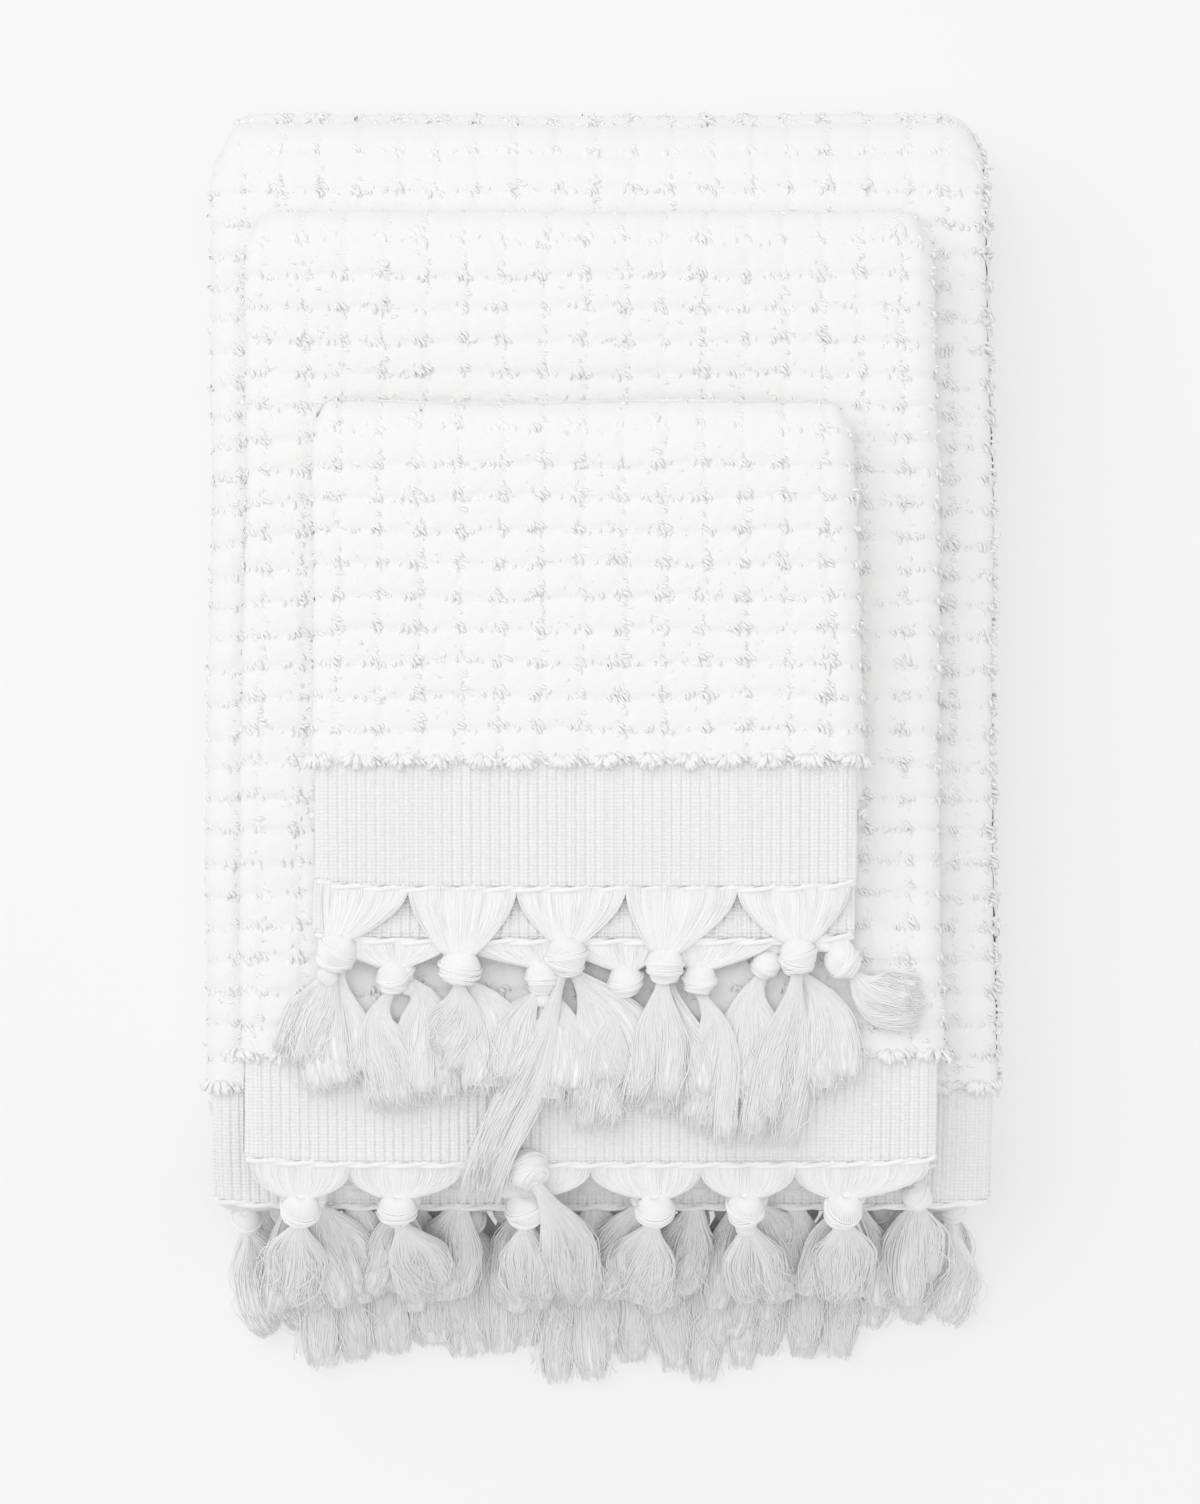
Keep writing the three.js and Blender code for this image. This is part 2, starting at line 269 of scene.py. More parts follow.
def folded_in_half(left, right, ply):
    """A towel folded once across its width, in x and height within its leaf.

    The fold is at the right, and the two selvedges curl towards each other at the left.
    """
    r = ply / 2
    return Line(
        bend((left + r, -0.25), (r, r - 0.25), 180, 270, 8)
        + straight((left + r, -r), (right - r * 1.2, -r))
        + bend((right - r * 1.2, 0), (r * 1.2, r), -90, 90)
        + straight((right - r * 1.2, r), (left + r, r))
        + bend((left + r, 0.25), (r, r - 0.25), 90, 180, 8),
        1,
    )


def folded_in_thirds(left, right, ply):
    """The left third lies over the right third, which lies over the middle one."""
    r = ply / 2
    return Line(
        bend((right - r, ply - r), (r, r), 0, 90, 8)
        + straight((right - r, ply), (left + ply, ply))
        + bend((left + ply, 0), (ply, ply), 90, 270, 26)
        + straight((left + ply, -ply), (right - r, -ply))
        + bend((right - r, -r), (r, r), -90, 90)
        + straight((right - r, 0), (left + ply + 3, 0)),
        1,
    )


class FoldedCloth:
    """Takes a place on the flat cloth, u across and v along, and a height over it, to space."""

    def __init__(self, width, length, shape, body, squeeze=None):
        self.width, self.length, self.shape, self.body = width, length, shape, body
        self.squeeze = squeeze or (lambda v: 1.0)

    def point(self, u, v, d):
        u, v, d = np.broadcast_arrays(u, v, d)
        across, across_normal = self.width.at(u)
        along, along_normal = self.length.at(v)
        height = across[..., 1] * self.squeeze(v) + across_normal[..., 1] * d
        x = across[..., 0] + across_normal[..., 0] * d
        y = along[..., 0] + along_normal[..., 0] * height
        z = along[..., 1] + along_normal[..., 1] * height
        return self.shape(np.stack([x, y, z], -1))

    def directions(self, u, v, d):
        """The outward normal and the directions of u and v."""
        normal = unit(self.point(u, v, d + 0.4) - self.point(u, v, d - 0.4))
        across = unit(self.point(u + 0.5, v, d) - self.point(u - 0.5, v, d))
        along = unit(self.point(u, v + 0.5, d) - self.point(u, v - 0.5, d))
        return normal, across, along


def crossed(us, vs):
    return np.meshgrid(us, vs, indexing="ij")


def spaced(low, high, step):
    return np.linspace(low, high, max(int(round((high - low) / step)), 1) + 1)


def closed_sheet(cloth, us, vs, half_thickness):
    """A sheet with thickness, given as a function of u."""
    u, v = crossed(us, vs)
    half = half_thickness(u)
    return two_faced(cloth.point(u, v, half), cloth.point(u, v, -half))


def lie_of_towel(low, high, corner, seed):
    """How a folded towel really lies: back corners rounded, edges sagging, sides wandering."""
    middle, half = (low + high) / 2, (high - low) / 2

    def shape(p):
        x, y, z = p[..., 0], p[..., 1], p[..., 2]
        off = np.abs(x - middle[0])
        side = np.clip(off - (half[0] - corner), 0, corner * 0.98)
        cut = corner - np.sqrt(corner**2 - side**2)
        near_back = smoothstep((y - (high[1] - 3 * corner)) / (3 * corner))
        level = np.clip((z - low[2]) / (high[2] - low[2]), 0, 1)
        rim = np.clip((off - half[0] + 15) / 15, 0, 1.2)
        back_rim = np.clip((y - high[1] + 15) / 15, 0, 1.2)
        widen = 1 - SPREAD * (y - middle[1]) / half[1]
        wander = wobble(y, z * 3, seed, 150) * (off / half[0]) ** 2
        new_x = middle[0] + (x - middle[0]) * widen + wander
        new_y = y - cut * near_back + 0.8 * near_back * wobble(x, z * 3, seed + 9, 130)
        sag = CROWN * (rim**2 + back_rim**2)
        new_z = z - level * sag + 0.45 * level * wobble(x, y, seed + 5, 110)
        return np.stack([new_x, new_y, new_z], -1)

    return shape


# ---- pile ----


class Pile:
    """The raised waffle pile of one towel."""

    def __init__(self, seed):
        self.seed = seed

    def lattice(self, u, v):
        """The place on the uneven grid of pile blocks, counted in blocks."""
        seed = self.seed
        a = u + 1.1 * wobble(u, v, seed, 47) + 0.45 * wobble(u, v, seed + 1, 13)
        b = v + 0.9 * wobble(u, v, seed + 2, 52) + 0.4 * wobble(u, v, seed + 3, 11)
        return a / BLOCK_ACROSS, b / BLOCK_ALONG

    def height(self, u, v):
        """Height over the ground: domed blocks with grooves between, each a little different."""
        a, b = self.lattice(u, v)
        near_u, near_v = np.abs(2 * (a % 1) - 1), np.abs(2 * (b % 1) - 1)
        dome = (1 - 0.6 * near_u**5) * (1 - near_v**3)
        which = np.sin(np.floor(a) * 12.9898 + np.floor(b) * 78.233 + self.seed) * 43758.5453
        lift = 0.8 + 0.35 * (which % 1)
        soft = 0.12 * wobble(u, v, self.seed + 4, 5) + 0.09 * wobble(u, v, self.seed + 6, 3.1)
        return GROOVE + dome * BLOCK_RISE * lift + soft

    def bristling(self, u, v, across, along):
        """How far loops stand clear: most at the corner of a block that the pile leans towards."""
        a, b = self.lattice(u, v)
        a = np.where(across[:, 0] > 0, a % 1, 1 - a % 1)
        b = np.where(along[:, 1] > 0, b % 1, 1 - b % 1)
        corner = np.exp(-(((a - 0.84) / 0.22) ** 2) - ((b - 0.16) / 0.24) ** 2)
        corner = corner * (0.8 + 0.5 * wobble(u, v, self.seed + 10, 33))
        edge = np.exp(-(((b - 0.08) / 0.12) ** 2)) * (0.6 + 0.4 * wobble(u, v, self.seed + 7, 21))
        side = np.exp(-(((a - 0.96) / 0.1) ** 2))
        return np.clip(1.2 * corner + 0.4 * edge + 0.3 * side + 0.04, 0, 1)

    def surface(self, cloth, us, vs):
        """The pile's surface over a patch, brought down to the ground at the cloth's ends."""
        u, v = crossed(us, vs)
        from_end = np.minimum(v, cloth.length.length - v)
        from_side = np.minimum(u, cloth.width.length - u)
        fade = smoothstep(from_end / END_FADE) * smoothstep(from_side / END_FADE)
        d = GROUND * 0.6 + (GROUND * 0.4 + self.height(u, v)) * fade
        return cloth.point(u, v, d).reshape(-1, 3), [grid_faces(*u.shape)[:, ::-1]]

    def places(self, u_range, v_range, spacing, rng):
        """Jittered places in staggered rows."""
        us = np.arange(u_range[0], u_range[1], spacing)
        vs = np.arange(v_range[0], v_range[1], spacing * 0.9)
        u, v = crossed(us, vs)
        u = u + (np.arange(len(vs)) % 2) * spacing / 2
        u = (u + rng.normal(0, 0.28 * spacing, u.shape)).ravel()
        v = (v + rng.normal(0, 0.28 * spacing, v.shape)).ravel()
        inside = (u > u_range[0]) & (u < u_range[1]) & (v > v_range[0]) & (v < v_range[1])
        return u[inside], v[inside]

    def chosen(self, cloth, u, v, rng):
        """The places where a loop shows, and how far it stands clear."""
        _, across, along = cloth.directions(u, v, GROUND)
        clear = self.bristling(u, v, across, along)
        kept = rng.uniform(0, 1, len(u)) < clear
        return u[kept], v[kept], clear[kept]

    def tufts(self, cloth, u, v, clear, rng):
        """Loops of pile that lean the way the pile settled and spread from their block."""
        count, clear = len(u), clear[:, None]
        slope_u = (self.height(u + 0.6, v) - self.height(u - 0.6, v)) / 1.2
        slope_v = (self.height(u, v + 0.6) - self.height(u, v - 0.6)) / 1.2
        d = GROUND + self.height(u, v)
        normal, across, along = cloth.directions(u, v, d)
        fall = -(slope_u[:, None] * across + slope_v[:, None] * along)
        settle = SETTLE * np.clip(normal[:, 2:], 0.15, 1)
        stray = rng.normal(0, 1, (2, count, 1))
        aside = 1.1 * fall + 0.38 * (stray[0] * across + stray[1] * along)
        first = unit((0.3 + 0.12 * clear) * normal + 0.6 * aside + settle)
        last = unit((0.1 * clear - 0.15) * normal + 0.9 * aside + 1.1 * settle)
        size = (LOOP_LENGTH * rng.uniform(0.75, 1.15, count))[:, None] * (0.75 + 0.4 * clear)
        base = cloth.point(u, v, d - 0.6)
        middle = base + first * size * 0.5
        tip = [middle + last * size * share for share in (0.35, 0.5)]
        paths = np.stack([base, middle, *tip], 1)
        radii = LOOP_RADIUS * rng.uniform(0.75, 1.15, (count, 1)) * np.array([0.8, 1.0, 0.9, 0.45])
        return paths, radii, -normal[:, None]

    def end_row(self, cloth, u, v, outward, rng):
        """The last loops of the pile, which hang over the flat band in little fans."""
        count = len(u)
        d = GROUND + rng.uniform(0.0, 2.3, count)
        normal, across, along = cloth.directions(u, v, d)
        off_centre = 2 * (self.lattice(u, v)[0] % 1) - 1
        fan = (1.5 * off_centre + rng.normal(0, 0.2, count))[:, None]
        lift = rng.uniform(-0.25, 0.5, count)[:, None]
        first = unit(outward * along + fan * across + (lift + 0.35) * normal)
        last = unit(outward * along + 1.2 * fan * across + (lift - 0.45) * normal)
        size = (rng.uniform(2.8, 4.4, count) * (1.15 - 0.4 * off_centre**2))[:, None]
        base = cloth.point(u, v, d) - outward * along * 0.8
        base -= END_CLUSTER * BLOCK_ACROSS / 2 * off_centre[:, None] * across
        middle = base + first * size * 0.6
        paths = np.stack([base, middle, middle + last * size * 0.4], 1)
        radii = rng.uniform(0.6, 0.9, (count, 1)) * np.array([0.8, 1.0, 0.6])
        return paths, radii, normal[:, None]


# ---- materials ----


def set_inputs(tree, node, inputs):
    """Links each input of a node to a socket, or sets it to a value."""
    for name, value in inputs.items():
        if isinstance(value, bpy.types.NodeSocket):
            tree.links.new(value, node.inputs[name])
        else:
            node.inputs[name].default_value = value


def add_node(tree, kind, inputs):
    node = tree.nodes.new("ShaderNode" + kind)
    set_inputs(tree, node, inputs)
    return node


def new_material(name, colour, roughness, sheen):
    material = bpy.data.materials.new(name)
    material.use_nodes = True
    tree = material.node_tree
    shader = tree.nodes["Principled BSDF"]
    look = {"Base Color": (*colour, 1), "Roughness": roughness, "Specular IOR Level": 0.25}
    set_inputs(tree, shader, look | {"Sheen Weight": sheen, "Sheen Roughness": 0.5})
    return material, tree, shader


def add_bump(tree, shader, height, strength, distance):
    bump = add_node(tree, "Bump", {"Strength": strength, "Distance": distance, "Height": height})
    set_inputs(tree, shader, {"Normal": bump.outputs["Normal"]})


def object_place(tree):
    """The socket of a place in the object's own metres."""
    return tree.nodes.new("ShaderNodeTexCoord").outputs["Object"]


def noise(tree, scale, detail=2.0, stretch=(1, 1, 1)):
    """The socket of a noise, stretched along the axes."""
    mapping = add_node(tree, "Mapping", {"Scale": stretch, "Vector": object_place(tree)})
    inputs = {"Scale": scale, "Detail": detail, "Vector": mapping.outputs["Vector"]}
    return add_node(tree, "TexNoise", inputs).outputs["Fac"]


def terry_material(name, colour):
    material, tree, shader = new_material(name, colour, 0.95, 0.1)
    add_bump(tree, shader, noise(tree, 900, 4), 0.5, 0.0005)
    return material


def wavy_lines(tree, direction, pitch, distortion):
    """Lines of one pitch across the cloth, none of them quite straight."""
    inputs = {"Scale": WAVE_PERIOD / (pitch * MM), "Distortion": distortion}
    inputs |= {"Detail": 2.0, "Detail Scale": 1.6, "Vector": object_place(tree)}
    lines = add_node(tree, "TexWave", inputs)
    lines.bands_direction = direction
    return lines.outputs["Fac"]


def calculated(tree, operation, first, second):
    """The socket of a maths node; second is a socket or a number."""
    node = add_node(tree, "Math", {0: first, 1: second})
    node.operation = operation
    return node.outputs[0]


def band_material():
    material, tree, shader = new_material("woven_band", (0.95, 0.952, 0.95), 0.85, 0.05)
    ribs = calculated(tree, "POWER", wavy_lines(tree, "X", RIB_PITCH / 2, 1.3), 0.45)
    picks = calculated(tree, "MULTIPLY", wavy_lines(tree, "Y", PICK_PITCH, 3.5), 0.55)
    add_bump(tree, shader, calculated(tree, "ADD", ribs, picks), 0.7, 0.00045)
    return material


def yarn_material(name, colour, sheen):
    material, tree, shader = new_material(name, colour, 0.8, sheen)
    add_bump(tree, shader, noise(tree, 1800, 2, (1, 0.25, 1)), 0.35, 0.0002)
    return material


TERRY = terry_material("terry_cotton", (0.925, 0.925, 0.92))
# The loops are lighter than the ground terry: painted light that lifts the shade the loops cast on
# each other.
LOOPS_PAINTED_LIGHTER = terry_material("terry_loops", (0.98, 0.98, 0.976))
BAND = band_material()
CORD = yarn_material("twined_cord", (0.965, 0.965, 0.96), 0.15)
YARN = yarn_material("tassel_yarn", (0.97, 0.97, 0.966), 0.15)


# ---- towels ----


class Towel:
    """One towel: its folds, and what makes its pieces."""

    def __init__(self, name, body, low, high, plies, leaf, corner, seed):
        self.name, self.body, self.plies, self.seed = name, body, plies, seed
        self.low, self.high, self.ply = low, high, leaf / plies
        self.pile = Pile(seed)
        self.shape = lie_of_towel(low, high, corner, seed)
        self.width = self.fold(low[0], high[0])
        self.made = 0
        self.bands, self.ends = {}, {}

    def fold(self, left, right):
        fold = folded_in_half if self.plies == 2 else folded_in_thirds
        return fold(left, right, self.ply)

    def add(self, name, mesh, material, body, replaces=None):
        """A piece that rides a body."""
        piece = make_piece(f"{self.name}_{name}", *mesh, material)
        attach(piece, body)
        if replaces:
            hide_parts(replaces)
        self.made += 1
        return piece

    def cloth(self, points, body=None):
        """The towel's cloth along a line through its leaves, its outer side on the left."""
        return FoldedCloth(self.width, Line(points, -1), self.shape, body or self.body)

    def ground(self, label, cloth, node):
        us, vs = self.width.samples(6.0, 1.2), cloth.length.samples(7.0, 2.0)
        mesh = closed_sheet(cloth, us, vs, lambda u: np.full(u.shape, GROUND))
        return self.add(label, mesh, TERRY, cloth.body, node)

    def surface(self, label, cloth, patches, step):
        parts = [self.pile.surface(cloth, spaced(*u, step), spaced(*v, step)) for u, v in patches]
        self.add(f"pile_{label}", join_parts(parts), TERRY, cloth.body)

    def tufted(self, label, cloth, patches, spacing=1.5):
        rng = np.random.default_rng([SEED, self.seed, self.made])
        found = [self.pile.places(u, v, spacing, rng) for u, v in patches]
        u, v = (np.concatenate([f[i] for f in found]) for i in (0, 1))
        u, v, clear = self.pile.chosen(cloth, u, v, rng)
        chunks = int(math.ceil(len(u) * TUFT_TRIANGLES / MOST_FACES))
        for k, part in enumerate(np.array_split(np.argsort(v), chunks)):
            paths, radii, reference = self.pile.tufts(cloth, u[part], v[part], clear[part], rng)
            mesh = tubes(paths, radii, 3, reference)
            self.add(f"tufts_{label}_{k + 1}", mesh, LOOPS_PAINTED_LIGHTER, cloth.body)

    def ragged_end(self, label, cloth, u_range, outward, rows=3):
        """The overhanging loops at a cut end; outward is -1 where v starts and 1 where it ends."""
        v = LAST_LOOPS if outward < 0 else cloth.length.length - LAST_LOOPS
        rng = np.random.default_rng([SEED, self.seed, self.made])
        u = np.tile(np.arange(u_range[0], u_range[1], 1.15), rows)
        u = u + rng.normal(0, 0.4, len(u))
        places = v - outward * rng.uniform(0, 1.8, len(u))
        paths, radii, reference = self.pile.end_row(cloth, u, places, outward, rng)
        self.add(f"ragged_{label}", tubes(paths, radii, 4, reference), LOOPS_PAINTED_LIGHTER, cloth.body)

    def turned_corners(self, low, creases):
        """The towel's shape, with a band's front corners drawn back and soft creases along it."""
        middle, half = (self.low[0] + self.high[0]) / 2, (self.high[0] - self.low[0]) / 2

        def shape(p):
            turned = self.shape(p)
            off = np.clip(np.abs(p[..., 0] - middle) / half, 0, 1.05)
            near = smoothstep(1 - (p[..., 1] - low[1]) / 14)
            turned[..., 1] += CORD_UPTURN * off**7 * near
            for x, depth, width in creases:
                crease = depth * np.exp(-(((p[..., 0] - x) / width) ** 2))
                turned[..., 2] -= crease * (0.4 + 0.6 * near)
            return turned

        return shape

    def band(self, label, leaf_z, body, creases, lift):
        """The flat woven end of the towel, from the cord to inside the terry."""
        node = f"{self.name}_{label}_band"
        low, high = node_box(node)
        run = high[1] + BAND_TUCK - low[1]
        drop = leaf_z - (low[2] + self.plies * BAND_PLY / 2) - lift
        t = np.linspace(1, 0, 24)
        line = zip(low[1] + run * (1 - t), leaf_z - 0.5 - (drop - 0.5) * t**1.5)
        length = Line(list(line), -1)
        width = self.fold(low[0] - BAND_WIDER, high[0] + BAND_WIDER)

        def squeeze(v):
            inside = smoothstep(v / length.length * 1.15)
            return BAND_END_SHARE + (1 - BAND_END_SHARE) * inside

        def rib(u):
            place = u + 0.5 * wobble(u, 0 * u, self.seed + 8, 40)
            return BAND_GROUND + RIB_DEPTH * np.abs(np.cos(np.pi * place / RIB_PITCH)) ** 0.6

        shape = self.turned_corners(low, creases)
        cloth = FoldedCloth(width, length, shape, body or self.body, squeeze)
        us = np.arange(0, width.length, RIB_PITCH / RIB_SAMPLES)
        mesh = closed_sheet(cloth, us, spaced(0, length.length, 3.6), rib)
        return cloth, self.add(f"{label}_woven_band", mesh, BAND, cloth.body, node)

    def cord(self, label, band):
        """Two plies twined along the free edge of a band, following its folds."""
        s = spaced(1.0, band.width.length - 1.0, 1.0)
        centre = band.point(s, 0.0, 0.0)
        centre[:, 1] -= CORD_BEYOND
        tangent = unit(np.gradient(centre, axis=0))
        outer = unit(np.cross(tangent, np.array([0.0, 1.0, 0.0])))
        forward = np.cross(outer, tangent)
        plies = []
        for start in (0, math.pi):
            turn = (2 * np.pi * s / CORD_TWIST + start)[:, None]
            around = np.cos(turn) * outer + np.sin(turn) * forward
            plies.append(centre + CORD_SPREAD * CORD_STRAND * around)
        mesh = tubes(np.array(plies), CORD_STRAND, 8, reference=(0.0, 1.0, 0.02))
        node = f"{self.name}_{label}_cord"
        return self.add(f"{label}_twined_cord", mesh, CORD, band.body, node)

    def end(self, label, leaf_z, body=None, creases=(), lift=0.0):
        """One woven end of the towel, with its cord."""
        self.bands[label], band_piece = self.band(label, leaf_z, body, creases, lift)
        self.ends[label] = [band_piece, self.cord(label, self.bands[label])]


# ---- tassels ----


def curve_through(points, count):
    """A smooth curve through points, sampled evenly."""
    points = np.array(points, float)
    knots = np.concatenate([[0], np.cumsum(np.linalg.norm(np.diff(points, axis=0), axis=1))])
    slopes = np.gradient(points, knots, axis=0)
    t = np.linspace(0, knots[-1], count)
    i = np.clip(np.searchsorted(knots, t, side="right") - 1, 0, len(knots) - 2)
    h = (knots[i + 1] - knots[i])[:, None]
    s = ((t - knots[i])[:, None]) / h
    return (
        (2 * s**3 - 3 * s**2 + 1) * points[i]
        + (s**3 - 2 * s**2 + s) * h * slopes[i]
        + (3 * s**2 - 2 * s**3) * points[i + 1]
        + (s**3 - s**2) * h * slopes[i + 1]
    )


def gathered(starts, ends, points, gather):
    """Paths that leave their starts straight along y and draw together late."""
    t = np.linspace(0, 1, points)[None, :, None]
    return starts[:, None] + (ends - starts)[:, None] * np.concatenate([t**gather, t, t**0.8], -1)


def fan_ends(count, knot, radius):
    """Where the threads of a fan go into its knot."""
    spread = np.linspace(-1, 1, count)
    rise = 0.4 + np.sqrt(np.clip(1 - spread**2, 0, 1)) * radius * 0.35
    return knot + np.stack([spread * radius * 0.55, np.full(count, radius * 0.45), rise], -1)


def fan_threads(starts, knot, style, rng, points=9):
    """Warp threads that leave the cord straight and gather into the knot."""
    count = len(starts)
    ends = fan_ends(count, knot, style.knot_radius)
    ends[:, 0] += rng.normal(0, 0.25, count)
    paths = gathered(starts, ends, points, style.gather)
    swell = np.sin(np.pi * np.linspace(0, 1, points))
    paths[..., 0] += swell * rng.normal(0, 0.3, (count, 1))
    paths[..., 2] += swell * rng.normal(0.05, 0.08, (count, 1))
    return tubes(paths, rng.uniform(0.15, 0.23, (count, 1)), 4)


def fan_web(starts, knot, style, rows=16, columns=9):
    """The layers of thread that the fan's top threads lie on."""
    starts = starts[np.linspace(0, len(starts) - 1, rows).astype(int)]
    ends = fan_ends(rows, knot, style.knot_radius)
    upper = gathered(starts, ends, columns, style.gather)
    return two_faced(upper, upper - WEB_DEPTH * UP)


Ball = namedtuple("Ball", "centre axis side up radii")  # an egg: radii across and along its axis


def over_ball(ball, polar, angle):
    """Points on a ball, from its top down and round its axis."""
    polar, angle = np.broadcast_arrays(polar, angle)
    around = np.cos(angle)[..., None] * ball.side + np.sin(angle)[..., None] * ball.up
    across, over = ball.radii[0] * np.sin(polar), ball.radii[1] * np.cos(polar)
    return ball.centre + across[..., None] * around - over[..., None] * ball.axis


def ball_strands(ball, count, slant, strand):
    """A ball of fine strands that run from its top to its bottom, and the ball they lie on."""
    polar = np.linspace(0.2, 2.9, 11)[None, :]
    angle = 2 * np.pi * np.arange(count)[:, None] / count + slant * (polar - 1.5)
    strands = tubes(over_ball(ball, polar, angle), strand, 4)
    rings, sides = 9, 14
    polar = np.linspace(0.08, np.pi - 0.08, rings)[:, None]
    core = over_ball(ball, polar, np.linspace(0, 2 * np.pi, sides + 1)[None, :-1])
    return [strands, (core.reshape(-1, 3), tube_faces(1, rings, sides))]


def wrapped_turns(centre, axis, radii, rng, strands=4, strand=0.37):
    """Turns of the gathered threads round a knot's lower half: flat bundles, each out of true."""
    around = np.linspace(0, 2 * np.pi, 23)[None, :]
    place = np.arange(strands)[:, None] - (strands - 1) / 2
    paths = []
    for polar in (1.55, 1.98, 2.4):
        lean = rng.uniform(-0.34, 0.34, 3)
        tilted = unit(axis + lean - axis * (lean @ axis))
        side = unit(np.cross(tilted, UP))
        swell = 1.12 - 0.045 * place**2 + 0.03 * np.sin(2 * around + rng.uniform(0, 6))
        angle = polar + 0.1 * place + 0.06 * np.sin(around + rng.uniform(0, 6))
        sizes = radii[0] * swell, radii[1] * swell
        ball = Ball(centre, tilted, side, np.cross(side, tilted), sizes)
        paths.append(over_ball(ball, angle, around))
    return tubes(np.concatenate(paths), strand, 5)


def knot_strands(centre, axis, style, rng):
    """An overhand knot: the gathered threads swell over the top, and turns wrap the lower half."""
    side, radius = unit(np.cross(axis, UP)), style.knot_radius
    up = np.cross(side, axis)
    slant = rng.uniform(-0.9, 0.9)
    radii = radius * rng.uniform(0.86, 0.95), radius * rng.uniform(0.84, 0.98)
    parts = ball_strands(Ball(centre, axis, side, up, radii), 50, slant, 0.36)
    parts.append(wrapped_turns(centre, axis, radii, rng))
    if rng.uniform() < 0.35:
        below = centre + axis * radius * 1.35
        radii = radius * 0.5, radius * 0.46
        parts += ball_strands(Ball(below, axis, side, up, radii), 30, -slant, 0.28)
    return parts


# The make of a tassel; tip is how blunt a lock's end is, from 0 for round to 1 for square.
Style = namedtuple("Style", "knot_radius half_width half_height locks tip gather strands")


class Lock:
    """One of the thick, soft bundles that a skirt falls in."""

    def __init__(self, frames, lane, style, rng):
        self.frames, self.style = frames, style
        self.out, self.rise = 0.52 * lane + rng.normal(0, 0.09), rng.uniform(-0.45, 0.45)
        self.sway = rng.normal(0, 0.1, 2), rng.uniform(0.3, 0.8), rng.uniform(0, 1)
        self.reach, self.swirl = rng.uniform(0.84, 1.0), rng.normal(0, 0.8)
        self.size = rng.uniform(0.85, 1.15)

    def point(self, t, angle, out):
        """t: 0 at the knot and 1 at the tip; angle round the lock; out: 1 on its surface."""
        style = self.style
        opened = smoothstep(t * 1.75)
        place = np.clip(t * self.reach, 0, 1) * (len(self.frames[0]) - 1)
        index = np.clip(place.astype(int), 0, len(self.frames[0]) - 2)
        part = (place - index)[..., None]
        middle, side, up = (f[index] * (1 - part) + f[index + 1] * part for f in self.frames)
        amounts, waves, phase = self.sway
        sway = np.sin(2 * np.pi * (t * waves + phase))
        tip = np.sqrt(1 - (1 - style.tip**2) * np.clip((t - 0.78) / 0.24, 0, 1) ** 2)
        swell = out * tip * self.size * (0.3 + 0.7 * opened)
        turn = angle + self.swirl * t
        wide = 1.25 / (style.locks + 1) + 0.2
        across = opened * (self.out + amounts[0] * sway) + wide * swell * np.cos(turn)
        rise = opened * (self.rise + amounts[1] * sway) + 0.6 * swell * np.sin(turn)
        across, rise = style.half_width * across, style.half_height * rise
        return middle + across[..., None] * side + rise[..., None] * up

    def core(self, rings=12, sides=18):
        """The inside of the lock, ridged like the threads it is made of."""
        last = 0.94 if self.style.tip > 0.6 else 1.0
        t, angle = crossed(np.linspace(0, last, rings), 2 * np.pi * np.arange(sides) / sides)
        ridges = 0.82 + 0.05 * np.sin(5 * angle + 2 * t) + 0.035 * np.sin(9 * angle - 3 * t)
        return self.point(t, angle, ridges).reshape(-1, 3), tube_faces(1, rings, sides)

    def threads(self, count, rng, points=12):
        """The threads over the lock, with a few that curl away from it."""
        one_each = (count, 1)
        t = np.linspace(0, 1, points)[None, :] * rng.uniform(0.9, 1.03, one_each)
        stray = (rng.uniform(0, 1, one_each) < 0.08) * rng.uniform(0.2, 1.1, one_each)
        turns, phase = rng.uniform(0.8, 1.9, one_each), rng.uniform(0, 1, one_each)
        wave = (0.06 + 0.25 * stray) * np.sin(2 * np.pi * (t * turns + phase))
        round_lock = (np.arange(count)[:, None] + rng.uniform(0, 1, one_each)) / count
        angle = 2 * np.pi * round_lock + 3 * wave * t
        out = np.sqrt(rng.uniform(0.76, 1.08, one_each)) + wave * t + stray * t**2
        radii = rng.uniform(0.17, 0.27, one_each) * (1 - 0.3 * t**4)
        return tubes(self.point(t, angle, out), radii, 3)


def skirt_strands(line, style, rng, points=13):
    """The loose cut threads under a knot, in soft locks side by side."""
    middle = curve_through(line, points)
    tangent = unit(np.gradient(middle, axis=0))
    side = unit(np.cross(tangent, UP))
    frames = middle, side, np.cross(side, tangent)
    parts = []
    for lane in np.linspace(-1, 1, style.locks):
        lock = Lock(frames, lane, style, rng)
        parts += [lock.core(), lock.threads(style.strands // style.locks, rng)]
    return parts


SWINGING = [f"wash_tassel_{number}" for number in range(1, 6)]


